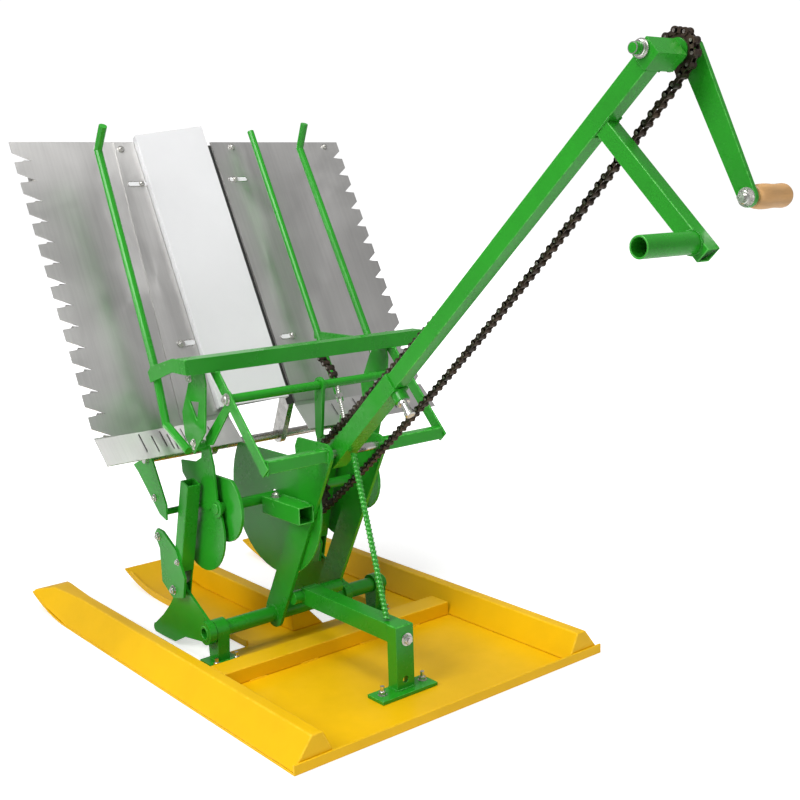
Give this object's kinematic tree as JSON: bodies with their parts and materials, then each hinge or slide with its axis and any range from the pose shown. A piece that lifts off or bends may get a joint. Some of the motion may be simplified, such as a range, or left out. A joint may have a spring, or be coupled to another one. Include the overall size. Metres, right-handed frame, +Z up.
{
  "type": "walk behind rice transplanter",
  "caption": "Hand-cranked paddy seedling transplanter: sled float, slanted sliding mat tray, chain-driven planting arms on rockers, and a long mast with crank.",
  "frame": {"origin": "underside of the float, on its middle skid just ahead of the pan's edge, on the ground plane", "axes": "+X towards the operator's end, +Y towards the crank's side, +Z up"},
  "size_m": [1.214, 0.606, 0.847],
  "materials": {
    "yellow_paint": "gloss enamel, worn",
    "green_paint": "gloss enamel",
    "zinc_steel": "zinc plated",
    "stainless": "mill finish",
    "dark_steel": "oiled black steel",
    "white_paint": "satin",
    "turned_wood": "varnished"
  },
  "bodies": {
    "frame": {"float_deck": "yellow_paint", "left_rail": "yellow_paint", "right_rail": "yellow_paint", "middle_rail": "yellow_paint", "cross_beam": "yellow_paint", "front_post": "green_paint", "link_bar": "green_paint", "cross_tube": "green_paint", "left_tube_bracket": "green_paint", "right_tube_bracket": "green_paint", "left_leg": "green_paint", "right_leg": "green_paint", "leg_bolt": "zinc_steel", "mast_sleeve": "green_paint", "mast_bar": "green_paint", "head_bearing": "green_paint", "drop_bar": "green_paint", "grip_tube": "green_paint", "brace_rod": "green_paint", "drive_chain": "dark_steel", "sprocket_guard": "green_paint", "left_shaft_plate": "green_paint", "right_shaft_plate": "green_paint", "socket_stub": "green_paint", "top_bar": "green_paint", "left_hanger": "green_paint", "right_hanger": "green_paint", "left_shield": "green_paint", "right_shield": "green_paint", "left_support_tube": "green_paint", "right_support_tube": "green_paint", "feed_tube": "green_paint", "feed_lever": "green_paint", "slide_rail": "zinc_steel", "left_rear_plate": "green_paint", "right_rear_plate": "green_paint", "left_guide_rod": "green_paint", "right_guide_rod": "green_paint", "middle_guide_rod": "green_paint"},
    "crank": {"crank_shaft": "zinc_steel", "crank_sprocket": "dark_steel", "crank_arm": "green_paint"},
    "grip": {"crank_grip": "turned_wood"},
    "drive": {"drive_shaft": "green_paint", "drive_sprocket": "dark_steel", "left_crank_disc": "green_paint", "right_crank_disc": "green_paint"},
    "left_rocker": {"left_rocker": "green_paint"},
    "right_rocker": {"right_rocker": "green_paint"},
    "left_arm": {"left_planting_arm": "green_paint", "left_claw": "dark_steel"},
    "right_arm": {"right_planting_arm": "green_paint", "right_claw": "dark_steel"},
    "tray": {"left_tray_sheet": "stainless", "right_tray_sheet": "stainless", "tray_panel": "white_paint", "tray_upper_rail": "zinc_steel", "tray_lower_rail": "zinc_steel"}
  },
  "joints": [
    {"name": "crank_turn", "type": "hinge", "parent": "frame", "child": "crank", "pos_m": [0.7145, 0, 0.822], "axis": [0, 1, 0], "continuous": true},
    {"name": "grip_turn", "type": "hinge", "parent": "crank", "child": "grip", "pos_m": [0.786, 0, 0.675], "axis": [0, 1, 0], "continuous": true},
    {"name": "drive_turn", "type": "hinge", "parent": "frame", "child": "drive", "pos_m": [0.03, 0, 0.241], "axis": [0, 1, 0], "continuous": true},
    {"name": "left_rocker_swing", "type": "hinge", "parent": "frame", "child": "left_rocker", "pos_m": [0.018, 0, 0.052], "axis": [0, 1, 0], "range_deg": [-35, 31.3]},
    {"name": "left_arm_swing", "type": "hinge", "parent": "left_rocker", "child": "left_arm", "pos_m": [-0.058, 0, 0.102], "axis": [0, 1, 0], "range_deg": [-31.3, 35]},
    {"name": "right_rocker_swing", "type": "hinge", "parent": "frame", "child": "right_rocker", "pos_m": [0.018, 0, 0.052], "axis": [0, 1, 0], "range_deg": [-35, 31.3]},
    {"name": "right_arm_swing", "type": "hinge", "parent": "right_rocker", "child": "right_arm", "pos_m": [-0.058, 0, 0.102], "axis": [0, 1, 0], "range_deg": [-31.3, 35]},
    {"name": "tray_shift", "type": "slide", "parent": "frame", "child": "tray", "axis": [0, 1, 0], "range_m": [-0.095, 0.095]}
  ],
  "couplings": [
    {"joint": "drive_turn", "follows": "crank_turn", "ratio": 0.5},
    {"joint": "left_arm_swing", "follows": "left_rocker_swing", "ratio": -1},
    {"joint": "right_arm_swing", "follows": "right_rocker_swing", "ratio": -1}
  ]
}
